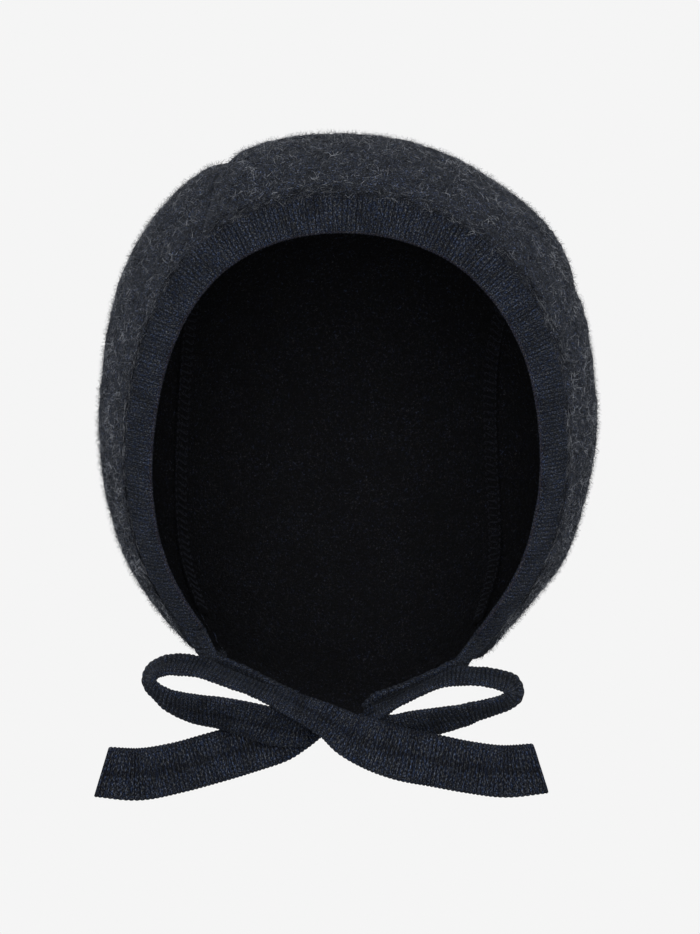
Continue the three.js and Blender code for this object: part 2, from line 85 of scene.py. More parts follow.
# The worn form: its radius from the head's centre, by how far the direction points up.
HEAD = np.array([0.0, 0.0, -85.0])
SQUARENESS = 0.2  # over the 2 of an ellipse, at the form's waist
FORM_STEP = 15.0  # degrees between the form's rows
FORM = table(
    "up left right front back",
    (-75, 90.0, 88.0, 100.0, 113.0),
    (-60, 79.0, 76.5, 95.0, 97.4),
    (-45, 76.0, 72.8, 90.5, 83.2),
    (-30, 74.6, 72.8, 90.5, 76.2),
    (-15, 73.0, 71.7, 89.0, 72.8),
    (0, 72.8, 72.5, 86.0, 72.2),
    (15, 74.2, 74.3, 84.7, 74.8),
    (30, 78.9, 78.9, 82.7, 79.0),
    (45, 84.6, 83.8, 83.2, 84.2),
    (60, 87.6, 85.2, 86.0, 87.6),
    (75, 88.3, 86.8, 87.2, 88.0),
    (90, 87.6, 87.6, 87.6, 87.6),
    (105, 86.8, 88.3, 88.0, 87.2),  # past the pole: the far side's, so it stays smooth
)

# The front edge of the band, from the left corner over the forehead to the right one.
RIM = table(
    "x y z",
    (-43.7, -47.0, -143.4),
    (-50.0, -51.0, -132.6),
    (-55.2, -54.4, -118.9),
    (-57.1, -56.8, -105.3),
    (-56.4, -59.2, -87.0),
    (-52.1, -60.8, -64.6),
    (-44.5, -61.0, -47.7),
    (-34.7, -60.6, -37.6),
    (-19.5, -60.1, -30.8),
    (-3.0, -60.0, -28.5),
    (13.3, -60.0, -30.8),
    (30.2, -60.6, -37.6),
    (40.9, -61.0, -47.7),
    (50.4, -60.8, -64.6),
    (54.5, -59.2, -87.0),
    (54.3, -56.8, -105.3),
    (51.0, -54.4, -118.9),
    (44.6, -51.0, -132.6),
    (37.6, -47.0, -143.6),
)

# The neck edge between the band's two back corners, round the nape.
NECK = table(
    "x y z",
    (-43.4, -10, -148.4),
    (-42.2, 10, -151.4),
    (-36.8, 26, -155.6),
    (-27.8, 36, -161.0),
    (-14.8, 44, -167.0),
    (0.0, 47.5, -170.4),
    (11.2, 45, -166.8),
    (21.7, 40, -161.8),
    (31.5, 28, -156.5),
    (37.2, 10, -151.4),
    (38.4, -10, -148.4),
)

# The two seams, from the band over the head and down to the neck, and the shares of the
# band and of the neck edge at which they start and end.
SEAM_SHARES = {"left": (0.375, 0.25), "right": (0.748, 0.775)}
SEAM_LEFT = table(
    "x y z",
    (-39.8, -30, -13.0),
    (-35.5, 0, -4.0),
    (-40.5, 30, -14.0),
    (-49.0, 46, -42.0),
    (-52.5, 50, -85.0),
    (-48.5, 34, -128.0),
)
SEAM_RIGHT = table(
    "x y z",
    (63.0, -29, -58.0),
    (67.3, 0, -41.0),
    (61.5, 26, -35.0),
    (51.0, 45, -43.0),
    (45.0, 54, -62.0),
    (44.5, 55, -90.0),
    (46.0, 40, -128.0),
)

# Soft dents in the cloth.
DENTS = table(
    "x y z radius depth",
    (-52, -36, -22, 9, 1.4),
    (-60, -8, -26, 13, 0.6),
    (64, -18, -38, 9, 1.2),
    (71, 2, -60, 12, 0.9),
    (10, 40, -10, 16, 1.2),
    (-20, 68, -104, 16, 1.6),
    (24, 60, -132, 15, 1.5),
    (-62, 24, -118, 14, 1.2),
)

# Strips by stations along their middle line. lean is the angle by which the strip's far
# edge turns outwards: 0 is edge on from the front, 90 faces the front. slant is the
# angle by which an end is cut off square.
STATION = "x y z width lean slant"
FRONT_BOW = table(
    STATION,
    (54.3, -60.0, -179.9, 14.7, 88, 13),
    (44.0, -61.0, -180.7, 14.7, 82, 0),
    (34.1, -62.0, -179.5, 14.7, 78, 0),
    (24.5, -63.0, -177.6, 14.9, 78, 0),
    (15.2, -64.0, -175.7, 15.1, 78, 0),
    (7.3, -64.5, -173.1, 14.7, 76, 0),
    (0.3, -65.0, -170.2, 13.0, 70, 0),
    (-5.3, -65.2, -166.6, 10.8, 60, 0),
    (-11.0, -65.0, -163.8, 11.2, 40, 0),
    (-18.0, -64.5, -160.6, 12.5, 25, 0),
    (-25.6, -64.0, -157.6, 14.0, 12, 0),
    (-34.0, -63.5, -154.4, 14.7, 13, 0),
    (-40.5, -63.0, -151.8, 14.7, 16, 0),
    (-46.2, -62.5, -150.6, 14.7, 19, 0),
    (-51.8, -62.0, -150.9, 14.7, 17, 0),
    (-55.1, -62.0, -152.6, 14.7, 14, 0),
    (-56.1, -62.0, -155.3, 14.7, 13, 0),
    (-53.7, -62.5, -158.4, 14.7, 17, 0),
    (-49.4, -63.0, -161.1, 14.7, 26, 0),
    (-43.3, -63.6, -163.0, 14.7, 34, 0),
    (-35.7, -64.4, -164.2, 14.7, 38, 0),
    (-27.8, -64.6, -166.0, 13.8, 46, 0),
    (-21.0, -63.2, -168.0, 12.4, 60, 0),
    (-16.0, -61.6, -169.2, 10.6, 66, 0),
    (-11.5, -60.2, -169.2, 9.4, 72, 0),
)
LEFT_TAIL = table(
    STATION,
    (-69.6, -60.0, -180.9, 14.7, 88, -13),
    (-58.9, -59.5, -181.6, 14.7, 84, 0),
    (-48.2, -58.5, -179.8, 14.4, 80, 0),
    (-38.4, -57.4, -177.2, 14.4, 82, 0),
    (-28.0, -56.6, -174.3, 14.0, 88, 0),
    (-19.2, -56.4, -172.0, 12.6, 90, 0),
    (-13.5, -56.4, -169.4, 10.6, 90, 0),
    (-9.6, -56.4, -167.2, 9.2, 90, 0),
)
RIGHT_LOOP = table(
    STATION,
    (4.6, -56.2, -166.4, 8.2, 20, 0),
    (9.6, -57.6, -163.7, 11.4, 10, 0),
    (14.4, -58.8, -161.0, 14.0, 3, 0),
    (20.3, -60.0, -158.0, 14.7, 2, 0),
    (25.9, -61.0, -155.3, 14.7, 7, 0),
    (31.0, -61.5, -153.9, 14.7, 15, 0),
    (36.3, -62.0, -153.9, 14.7, 15, 0),
    (42.4, -62.0, -154.8, 14.7, 17, 0),
    (46.0, -62.0, -156.5, 14.7, 20, 0),
    (46.7, -62.0, -159.0, 14.7, 20, 0),
    (44.0, -62.0, -161.3, 14.7, 18, 0),
    (39.4, -62.0, -162.8, 14.7, 19, 0),
    (33.4, -62.0, -164.5, 14.7, 24, 0),
    (26.5, -60.6, -166.2, 14.7, 30, 0),
    (19.7, -59.3, -167.6, 14.2, 35, 0),
    (13.0, -57.6, -168.8, 12.6, 38, 0),
    (7.0, -56.4, -169.4, 11.0, 50, 0),
)
LEFT_TIE = table(
    STATION,
    (-39.0, -40.2, -149.6, 14.7, 14, 0),
    (-33.1, -41.8, -152.2, 14.7, 13, 0),
    (-26.2, -44.6, -155.0, 14.7, 10, 0),
    (-19.6, -47.0, -158.4, 13.0, 10, 0),
    (-14.4, -48.4, -161.4, 10.6, 16, 0),
)
RIGHT_TIE = table(
    STATION,
    (32.6, -40.2, -150.2, 14.7, 9, 0),
    (26.9, -41.6, -153.0, 14.7, 7, 0),
    (20.5, -43.4, -155.7, 14.4, 5, 0),
    (13.1, -44.8, -158.8, 12.6, 6, 0),
    (7.8, -45.3, -161.2, 11.2, 10, 0),
    (5.0, -45.8, -164.4, 10.0, 14, 0),
)
TURN_STATIONS = 1.6  # stations over which a tie turns out of the band's lie
KNOT_CENTRE = np.array([-5.2, -50.4, -166.9])
KNOT_HALF = np.array([7.6, 4.2, 4.0])
KNOT_WAIST = 0.16  # how far the knot is pinched round its middle

BACK = np.array([0.0, 1.0, 0.0])
CURVE_STEPS = 200


# Vectors and smooth curves.


def unit(v):
    return v / np.linalg.norm(v, axis=-1, keepdims=True)


def dot(a, b):
    return np.sum(a * b, axis=-1, keepdims=True)


def bell(distance, width):
    return np.exp(-((distance / width) ** 2))


def smooth_share(x):
    x = np.clip(x, 0, 1)
    return x * x * (3 - 2 * x)


def column(rows, name, place):
    """A table's column at places counted in rows, read smoothly."""
    values = rows[name]
    last = len(values) - 1
    i = np.clip(np.floor(place).astype(int), 0, last - 1)
    a, b, c, d = (values[np.clip(i + k, 0, last)] for k in (-1, 0, 1, 2))
    t = place - i
    slopes = (c - a) * t + (2 * a - 5 * b + 4 * c - d) * t**2
    return b + 0.5 * (slopes + (3 * b - a - 3 * c + d) * t**3)


def points_of(rows):
    return np.stack([rows["x"], rows["y"], rows["z"]], axis=-1)


class SmoothCurve:
    """A centripetal Catmull-Rom curve through points, measured by its length."""

    def __init__(self, points):
        self.points = np.asarray(points, float)
        ends = 2 * self.points[[0, -1]] - self.points[[1, -2]]
        self.padded = np.concatenate([ends[:1], self.points, ends[1:]])
        self.grid = np.linspace(0, 1, CURVE_STEPS + 1)
        steps = np.linalg.norm(np.diff(self.at(self.grid), axis=0), axis=-1)
        self.lengths = np.concatenate([[0], np.cumsum(steps)])

    def at(self, t):
        place = np.clip(np.asarray(t, float), 0, 1) * (len(self.points) - 1)
        i = np.minimum(np.floor(place).astype(int), len(self.points) - 2)
        f = (place - i)[..., None]
        a, b, c, d = (self.padded[i + k] for k in range(4))
        ab, bc, cd = (np.linalg.norm(v, axis=-1, keepdims=True) ** 0.5 for v in (b - a, c - b, d - c))
        start = ((b - a) / ab - (c - a) / (ab + bc) + (c - b) / bc) * bc
        end = ((c - b) / bc - (d - b) / (bc + cd) + (d - c) / cd) * bc
        square = -3 * b + 3 * c - 2 * start - end
        cube = 2 * b - 2 * c + start + end
        return b + start * f + square * f**2 + cube * f**3

    def share_to_t(self, share):
        share = np.clip(share, 0, 1)
        return np.interp(share * self.lengths[-1], self.lengths, self.grid)

    def even(self, share):
        return self.at(self.share_to_t(share))

    def tangent(self, t):
        step = 1e-4
        return unit(self.at(np.minimum(t + step, 1)) - self.at(np.maximum(t - step, 0)))


# The form of the worn bonnet.


def form_radius(d):
    x, y, z = d[..., 0], d[..., 1], np.clip(d[..., 2], -1, 1)
    place = (np.degrees(np.arcsin(z)) - FORM["up"][0]) / FORM_STEP
    level = np.maximum(np.hypot(x, y), 1e-9)
    side = np.where(x < 0, column(FORM, "left", place), column(FORM, "right", place))
    deep = np.where(y < 0, column(FORM, "front", place), column(FORM, "back", place))
    power = 2 + SQUARENESS * level**2
    sideways = (np.abs(x) / level / side) ** power
    lengthways = (np.abs(y) / level / deep) ** power
    return (sideways + lengthways) ** (-1 / power)


def form_point(d):
    return HEAD + d * form_radius(d)[..., None]


def toward(p):
    return unit(p - HEAD)


def on_form(p):
    return form_point(toward(p))


def form_normal(d):
    other = np.where(np.abs(d[..., :1]) < 0.9, [1.0, 0.0, 0.0], [0.0, 0.0, 1.0])
    a = unit(np.cross(d, other))
    b = np.cross(d, a)
    step = 0.01
    along_a = form_point(unit(d + a * step)) - form_point(unit(d - a * step))
    along_b = form_point(unit(d + b * step)) - form_point(unit(d - b * step))
    n = unit(np.cross(along_a, along_b))
    return np.where(dot(n, d) < 0, -n, n)


rim_curve = SmoothCurve(points_of(RIM))


def rim_point(u):
    return on_form(rim_curve.even(u))


def band_back(u):
    u = np.asarray(u, float)
    front = rim_point(u)
    step = 0.004
    along = unit(rim_point(u + step) - rim_point(u - step))

    def backwards(p):
        back = unit(np.cross(form_normal(toward(p)), along))
        return np.where(back[..., 1:2] < 0, -back, back)

    half = on_form(front + backwards(front) * STRIP_WIDTH / 2)
    return on_form(half + backwards(half) * STRIP_WIDTH / 2)


neck_curve = SmoothCurve([band_back(0.0), *points_of(NECK), band_back(1.0)])


def neck_point(u):
    return on_form(neck_curve.even(u))


def seam_curve(shares, route):
    return SmoothCurve([band_back(shares[0]), *points_of(route), neck_point(shares[1])])


SEAM_CURVES = {
    "left": seam_curve(SEAM_SHARES["left"], SEAM_LEFT),
    "right": seam_curve(SEAM_SHARES["right"], SEAM_RIGHT),
}


def sampled(curve, count=240):
    return on_form(curve.even(np.linspace(0, 1, count + 1)))


SEAM_LINES = [sampled(c) for c in SEAM_CURVES.values()]
NECK_LINE = sampled(neck_curve)
DENT_PLACES = on_form(points_of(DENTS))


def nearest(p, line):
    """The distance from each point to the nearest point of a line."""
    flat = p.reshape(-1, 3)
    squares = np.full(len(flat), np.inf)
    for q in line:
        squares = np.minimum(squares, np.sum((flat - q) ** 2, axis=-1))
    return np.sqrt(squares).reshape(p.shape[:-1])


def pressed_in(p):
    """How far seams, dents and the neck's fold line pull the cloth inwards."""
    seam = np.minimum(*(nearest(p, line) for line in SEAM_LINES))
    depth = GROOVE["depth"] * bell(seam, GROOVE["width"])
    depth += CREASE["depth"] * bell(seam, CREASE["width"])
    fold = nearest(p, NECK_LINE) - NECK_FOLD["inset"]
    depth += NECK_FOLD["depth"] * bell(fold, NECK_FOLD["width"])
    for place, radius, dent in zip(DENT_PLACES, DENTS["radius"], DENTS["depth"]):
        depth += dent * bell(np.linalg.norm(p - place, axis=-1), radius)
    return depth


# The panels, each a sheet of shares across and along.


def centre_direction(across, along):
    (band_left, neck_left), (band_right, neck_right) = SEAM_SHARES.values()
    p = across[..., None]
    q = along[..., None]

    def band_at(s):
        return toward(band_back(band_left + s * (band_right - band_left)))

    def neck_at(s):
        return toward(neck_point(neck_left + s * (neck_right - neck_left)))

    on_left, on_right = (toward(c.even(along)) for c in SEAM_CURVES.values())
    d = on_left + (on_right - on_left) * p
    band_ends = band_at(0.0) + (band_at(1.0) - band_at(0.0)) * p
    neck_ends = neck_at(0.0) + (neck_at(1.0) - neck_at(0.0)) * p
    d = d + (band_at(across) - band_ends) * (1 - q) ** 2
    d = d + (neck_at(across) - neck_ends) * q**2
    return unit(d)


def side_direction(side):
    band_share, neck_share = SEAM_SHARES[side]
    corner = {"left": 0.0, "right": 1.0}[side]
    curve = SEAM_CURVES[side]

    def bottom(s):
        return toward(neck_point(corner + s * (neck_share - corner)))

    def fore(s):
        return toward(band_back(corner + s * (band_share - corner)))

    def top(s):
        return toward(curve.even(s / 2))

    def rear(s):
        return toward(curve.even(1 - s / 2))

    def direction(across, along):
        p = across[..., None]
        q = along[..., None]
        rails = bottom(across) * (1 - q) + top(across) * q
        rails = rails + fore(along) * (1 - p) + rear(along) * p
        low = bottom(0.0) * (1 - p) + bottom(1.0) * p
        high = top(0.0) * (1 - p) + top(1.0) * p
        return unit(rails - low * (1 - q) - high * q)

    return direction


def cloth_at(direction, across, along, depth=0.0):
    """A panel's points and normals at shares across and along, depth under its face."""
    d = direction(across, along)
    p = form_point(d)
    n = form_normal(d)
    return p - n * (pressed_in(p) + depth)[..., None], n


# Noise that is the same on every run.


def waves(p, pitch, seed, count=24):
    """Smooth noise of about -1 to 1 from plane waves of about one pitch."""
    rng = np.random.default_rng(seed)
    total = np.zeros(p.shape[:-1])
    for _ in range(count):
        heading = unit(rng.normal(size=3)) * math.tau / (pitch * rng.uniform(0.6, 1.6))
        total += np.sin(p @ heading + rng.uniform(0, math.tau))
    return total / math.sqrt(count / 2)


# Meshes.


def grid_mesh(name, cells_across, cells_along):
    """A sheet of quads with its shares across and along as its UV map."""
    bm = bmesh.new()
    bm.loops.layers.uv.new("UVMap")
    bmesh.ops.create_grid(
        bm, x_segments=cells_across, y_segments=cells_along, size=0.5, calc_uvs=True
    )
    mesh = bpy.data.meshes.new(name)
    bm.to_mesh(mesh)
    bm.free()
    return mesh


def get_points(mesh):
    co = np.empty(len(mesh.vertices) * 3)
    mesh.vertices.foreach_get("co", co)
    return co.reshape(-1, 3)


def set_points(mesh, points):
    mesh.vertices.foreach_set("co", np.ascontiguousarray(points, dtype=np.float32).ravel())
    mesh.update()


def set_attribute(mesh, name, values):
    layer = mesh.attributes.new(name, "FLOAT", "POINT")
    layer.data.foreach_set("value", np.ascontiguousarray(values, dtype=np.float32).ravel())


def piece(name, mesh, slot, replaced, *materials):
    """An object of the bonnet, standing for a CAD node if it replaces one."""
    obj = bpy.data.objects.new(name, mesh)
    bpy.context.scene.collection.objects.link(obj)
    for material in materials:
        mesh.materials.append(material)
    mesh.shade_smooth()
    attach(obj, "root")
    if replaced:
        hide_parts(*replaced)
    return obj


def panel(name, direction, cells, node):
    """A felted panel with soft lumps, its inside as a second material."""
    mesh = grid_mesh(name, *cells)
    shares = get_points(mesh)[:, :2] + 0.5
    p, n = cloth_at(direction, shares[:, 0], shares[:, 1])
    lumps = 0.16 * waves(p, 5.0, 11) + 0.12 * waves(p, 2.2, 12)
    set_points(mesh, (p + n * lumps[:, None]) * MM)
    obj = piece(name, mesh, "brushed_wool", [node], brushed_wool, inner_wool)
    middle = len(mesh.polygons) // 2 + cells[0] // 2
    face = mesh.polygons[middle]
    if face.normal.dot(face.center - Vector(HEAD * MM)) < 0:
        mesh.flip_normals()
    wall = obj.modifiers.new("cloth", "SOLIDIFY")
    wall.thickness = CLOTH * MM
    wall.offset = -1
    wall.material_offset = 1
    wall.material_offset_rim = 0
    return obj


# A hair's rings from root to tip: share of its length, lift off the cloth and thickness.
HAIR_RINGS = ((0, 0, 1), (0.4, 0.62, 0.9), (0.75, 0.95, 0.6), (1, 1, 0))
HAIR_POINTS = 7
HAIR_CORNERS = np.array([0, 1, 3, 2, 2, 3, 5, 4, 4, 5, 6])  # two faces of four, then the tip
HAIR_FACE_STARTS = np.array([0, 4, 8])
HAIR_CURL = 2.2  # radians that a hair turns at most, either way
ROOT_DEPTH = 0.15


def mesh_of(name, points, corners, starts):
    """A mesh of points, the points at its faces' corners, and each face's first corner."""
    mesh = bpy.data.meshes.new(name)
    mesh.vertices.add(len(points))
    mesh.loops.add(len(corners))
    mesh.polygons.add(len(starts))
    mesh.loops.foreach_set("vertex_index", corners.astype(np.int32))
    mesh.polygons.foreach_set("loop_start", starts.astype(np.int32))
    set_points(mesh, points * MM)
    return mesh


def hairs(name, place, normal, heading, size, shade, rng, material, slot):
    """Fine curled hairs as ribbons of three faces, joined in one mesh.

    size holds each hair's length, rise and width; heading is its way along the cloth.
    """
    count = len(place)
    length, rise, width = (v[:, None] for v in size)
    turn = rng.uniform(-HAIR_CURL, HAIR_CURL, (count, 1))
    side = np.cross(normal, heading)
    roll = rng.uniform(0, math.pi, (count, 1))
    broad = side * np.cos(roll) + normal * np.sin(roll)
    points = []
    at = place - normal * ROOT_DEPTH
    last = 0
    for share, lift, thickness in HAIR_RINGS:
        step = length * (share - last)
        angle = turn * share
        at = at + (heading * np.cos(angle) + side * np.sin(angle)) * step
        last = share
        middle = at + normal * rise * lift
        half = broad * width * thickness / 2
        points += [middle - half, middle + half] if thickness else [middle]
    firsts = np.arange(count)[:, None]
    corners = (firsts * HAIR_POINTS + HAIR_CORNERS).ravel()
    starts = (firsts * len(HAIR_CORNERS) + HAIR_FACE_STARTS).ravel()
    mesh = mesh_of(name, np.stack(points, axis=1).reshape(-1, 3), corners, starts)
    set_attribute(mesh, "shade", np.repeat(shade, HAIR_POINTS))
    mesh.validate()
    return piece(name, mesh, slot, None, material)


def scattered(direction, count, rng, across, along):
    """Random shares over a part of a panel, evenly by area."""
    tries = rng.uniform(0, 1, (count * 3, 2)) * [across[1] - across[0], along[1] - along[0]]
    tries += [across[0], along[0]]
    step = 0.004
    d = direction(tries[:, 0], tries[:, 1])
    wide = form_point(direction(tries[:, 0] + step, tries[:, 1])) - form_point(d)
    tall = form_point(direction(tries[:, 0], tries[:, 1] + step)) - form_point(d)
    area = np.linalg.norm(np.cross(wide, tall), axis=-1)
    chosen = rng.choice(len(tries), count, replace=False, p=area / area.sum())
    return tries[chosen, 0], tries[chosen, 1]


def hair_shades(p, rng, pale_share):
    """How pale each hair is: mostly dark, in drifting patches, with some pale ones."""
    patches = 0.13 * waves(p, 9.0, 21) + 0.12 * waves(p, 3.0, 22)
    pale = rng.uniform(0, 1, len(p)) < pale_share
    shade = np.where(pale, rng.uniform(0.55, 1.0, len(p)), rng.uniform(0.0, 0.34, len(p)))
    return np.clip(shade + patches, 0, 1)


# The least and most of each size of the nap's hairs, and the shares that stand and are pale.
# Standing hairs are more often pale than lying ones: partly the yarn's own pale fibres, partly painted
# light that lightens the fuzzy halo at the silhouette as light through thin standing hairs would.
STANDING = {"length": (0.6, 1.8), "rise": (0.8, 1.9), "width": (0.045, 0.085), "pale": 0.55}
LYING = {"length": (1.2, 3.4), "rise": (0.2, 0.9), "width": (0.06, 0.13), "pale": 0.42}
INNER = {"length": (1.0, 2.4), "rise": (0.3, 0.9)}
STANDING_SHARE = 0.45
FRINGE_PALE = 0.16


def nap(name, direction, full_count, seed, inside=False):
    """The brushed hair of a panel: most of it lies, some of it stands."""
    rng = np.random.default_rng(seed)
    count = int(full_count * HAIR_SHARE)
    margin = 0.012
    p_share, q_share = scattered(direction, count, rng, (margin, 1 - margin), (margin, 1 - margin))
    depth = np.full(count, CLOTH if inside else 0.0)
    at, n = cloth_at(direction, p_share, q_share, depth)
    if inside:
        n = -n
    level = unit(np.cross(n, [0.0, 0.0, 1.0]))
    up = np.cross(level, n)
    swirl = 1.1 * waves(at, 14.0, 31) + rng.normal(0, 0.75, count) + math.pi * rng.integers(0, 2, count)
    heading = level * np.cos(swirl)[:, None] + up * np.sin(swirl)[:, None]
    standing = rng.uniform(0, 1, count) < STANDING_SHARE

    def drawn(size):
        return np.where(standing, rng.uniform(*STANDING[size], count), rng.uniform(*LYING[size], count))

    length = drawn("length")
    rise = drawn("rise")
    if inside:
        length = rng.uniform(*INNER["length"], count)
        rise = rng.uniform(*INNER["rise"], count)
    width = drawn("width")
    # Standing hairs take the larger pale share: pale fibres plus painted rim light.
    shade = hair_shades(at, rng, np.where(standing, STANDING["pale"], LYING["pale"]))
    material = inner_hair if inside else wool_hair
    return hairs(name, at, n, heading, (length, rise, width), shade, rng, material, "brushed_wool")


def fringe(name, direction, full_count, seed, along_edge):
    """Hairs at a panel's front edge that lie forward over the band."""
    rng = np.random.default_rng(seed)
    count = int(full_count * HAIR_SHARE)
    along = rng.uniform(0.0, 1.0, count)
    inwards = rng.uniform(-0.004, 0.02, count)

    def cloth_there(inwards):
        shares = (along, inwards) if along_edge == "across" else (inwards, along)
        return cloth_at(direction, *shares)

    at, n = cloth_there(inwards)
    step = 0.02
    forward = unit(at - cloth_there(inwards + step)[0])
    side = unit(np.cross(n, forward))
    swing = rng.normal(0, 0.75, count)[:, None]
    heading = forward * np.cos(swing) + side * np.sin(swing)
    length = rng.uniform(1.0, 4.6, count)
    rise = rng.uniform(0.1, 0.6, count)
    width = rng.uniform(0.05, 0.09, count)
    shade = hair_shades(at, rng, FRINGE_PALE)
    return hairs(name, at, n, heading, (length, rise, width), shade, rng, wool_hair, "brushed_wool")


# Ribbed strips, each swept through frames: a middle, the way across, the outer side,
# the width, and how far the middle line rises above the edges.


def band_frames(u):
    front = rim_point(u)
    back = band_back(u)
    middle = (front + back) / 2
    across = back - front
    width = np.linalg.norm(across, axis=-1)
    across = unit(across)
    outer = form_normal(toward(middle))
    outer = unit(outer - across * dot(outer, across))
    crown = dot(on_form(middle) - middle, outer)[..., 0]
    middle = middle - outer * STRIP_THICKNESS / 2
    return {"middle": middle, "across": across, "outer": outer, "width": width, "crown": crown}


def tie_start(u):
    """A tie goes on where the band ends, a small gap away and turned the same way."""
    f = band_frames(np.array([u, abs(u - 0.01)]))
    along = unit(f["middle"][0] - f["middle"][1])
    return {"middle": f["middle"][0] + along * GAP, "across": f["across"][0], "outer": f["outer"][0]}


def tie_frames(stations, side, shares, start=None):
    """Frames of a strip. side is 1 where its outer side is on the left of the route."""
    rows = stations
    if start is not None:
        rows = {k: np.concatenate([v[:1], v]) for k, v in stations.items()}
        for name, value in zip("xyz", start["middle"]):
            rows[name][0] = value
    curve = SmoothCurve(points_of(rows))
    t = curve.share_to_t(shares)
    place = t * (len(rows["x"]) - 1)
    along = curve.tangent(t)
    back = unit(BACK - along * along[:, 1:2])
    out = np.cross(back, along) * side
    lean = np.radians(column(rows, "lean", place))[:, None]
    across = back * np.cos(lean) + out * np.sin(lean)
    outer = np.cross(across, along) * side
    slant = np.radians(column(rows, "slant", place))[:, None]
    across = across * np.cos(slant) + np.cross(outer, across) * np.sin(slant)
    if start is not None:
        own = smooth_share(place / TURN_STATIONS)[:, None]
        across = unit(start["across"] * (1 - own) + across * own)
        outer = start["outer"] * (1 - own) + outer * own
        outer = unit(outer - across * dot(outer, across))
    width = column(rows, "width", place)
    middle = curve.at(t)
    return {"middle": middle, "across": across, "outer": outer, "width": width, "crown": 0 * width}


AROUND = 24  # faces round a strip


def section(sewn):
    """Shares across and up of a strip's section, round from its front edge.

    A sewn strip is square at its back edge, where a panel meets it.
    """
    turn = np.linspace(0, 2, AROUND + 1)
    across = -0.5 * np.cos(math.pi * turn)
    sharpness = np.where(sewn & (across > 0), 60, 7)
    up = 0.5 * np.maximum(1 - np.abs(2 * across) ** sharpness, 0) ** 0.45
    if sewn:
        up += 0.07 * bell(across + 0.45, 0.025) - 0.08 * bell(across + 0.385, 0.02)
    else:
        up -= 0.2 * bell(across - 0.03, 0.09)
    up[[0, -1]] = 0
    return across, np.where(turn > 1, -up, up)


def rib_wave(s, pitch):
    """The wales of the rib: round backs and narrow grooves, from 0 to 1."""
    return np.abs(np.sin(math.pi * s / pitch)) ** 0.55


def ribbed_strip(name, frames_at, length, node, hems=(), gathers=(), sewn=False, red=(0, 0)):
    """A knitted strip with a wale every RIB_PITCH and scalloped edges.

    hems are the ends with a turned hem, 0 or 1. gathers are places in mm along the
    strip where it is bunched, with how far that reaches. red is which edge of the
    strip shows a reddish yarn, -1 the front or 1 the back, and how strongly.
    """
    ribs = round(length / RIB_PITCH)
    cells = ribs * STATIONS_PER_RIB
    mesh = grid_mesh(name, AROUND, cells)
    shares = get_points(mesh)[:, :2] + 0.5
    row = np.rint(shares[:, 1] * cells).astype(int)
    col = np.rint(shares[:, 0] * AROUND).astype(int)
    f = {k: v[row] for k, v in frames_at(np.linspace(0, 1, cells + 1)).items()}
    s = shares[:, 1] * length
    pitch = length / ribs
    wave = rib_wave(s + 0.12 * pitch * waves(f["middle"], 12.0, 41), pitch)
    across, up = (v[col] for v in section(sewn))
    edge = np.abs(2 * across)
    flat = 1 - edge**6
    relief = RIB_DEPTH * (wave - 0.7) * flat
    bunched = 0.0 * s
    for end in hems:
        away = np.abs(s - end * length)
        relief -= HEM["depth"] * bell(away - HEM["line"], HEM["width"]) * flat
        relief += HEM["turned"] * (away < HEM["line"]) * flat
    for place, reach in gathers:
        bunched = np.maximum(bunched, bell(s - place, reach))
    relief += GATHER * bunched * np.sin(across * 17 + 0.7 * np.sin(s * 0.5)) * flat
    rise = STRIP_THICKNESS * up + np.sign(up) * relief + f["crown"] * (1 - 4 * across**2)
    width = f["width"] * across + np.sign(across) * SCALLOP * (wave - 0.6) * edge**4
    rounded = 1.0
    for end in (0, 1):
        away = np.abs(s - end * length)
        rounded = rounded * np.where(away < 1.0, 1 - 0.035 * (1 - away) ** 2, 1)
    p = f["middle"] + f["across"] * (width * rounded)[:, None] + f["outer"] * rise[:, None]
    uneven = 0.10 * waves(p, 3.5, 42)
    p = p + f["outer"] * (uneven * flat)[:, None]
    set_points(mesh, p * MM)
    side, strength = red
    red_edge = strength * bell(across - 0.5 * side, 0.008)
    set_attribute(mesh, "edge", red_edge if sewn else red_edge * bunched)
    # Painted shade: the grooves between the wales, and on a tie the crease along its middle, are marked
    # to be darkened where shade would fall.
    painted_groove_shades = 1.0 * bell(wave, 0.55) + 0.6 * bell(across - 0.03, 0.045) * (0 if sewn else 1)
    set_attribute(mesh, "painted_groove_shade", np.clip(painted_groove_shades * np.sign(flat), 0, 1))
    uv = np.empty(len(mesh.loops) * 2)
    mesh.uv_layers[0].data.foreach_get("uv", uv)
    uv = uv.reshape(-1, 2) * [2 * STRIP_WIDTH / 10, length / 10]  # in centimetres
    mesh.uv_layers[0].data.foreach_set("uv", uv.astype(np.float32).ravel())
    close_tube(mesh)
    return piece(name, mesh, "ribbed_wool", [node], ribbed_wool)


def close_tube(mesh):
    """Joins a swept sheet's long edges, fills its two ends and faces it outwards."""
    bm = bmesh.new()
    bm.from_mesh(mesh)
    bmesh.ops.remove_doubles(bm, verts=bm.verts, dist=1e-7)
    ends = [e for e in bm.edges if e.is_boundary]
    bmesh.ops.holes_fill(bm, edges=ends, sides=0)
    bmesh.ops.recalc_face_normals(bm, faces=bm.faces)
    bm.to_mesh(mesh)
    bm.free()


def seam_frames(curve, t):
    d = toward(curve.even(t))
    p = form_point(d)
    outer = form_normal(d)
    step = 0.004
    along = unit(on_form(curve.even(t + step)) - on_form(curve.even(t - step)))
    across = unit(np.cross(along, outer))
    depth = pressed_in(p) + CLOTH + SEAM_THICKNESS / 2
    return p - outer * depth[:, None], across, outer, along


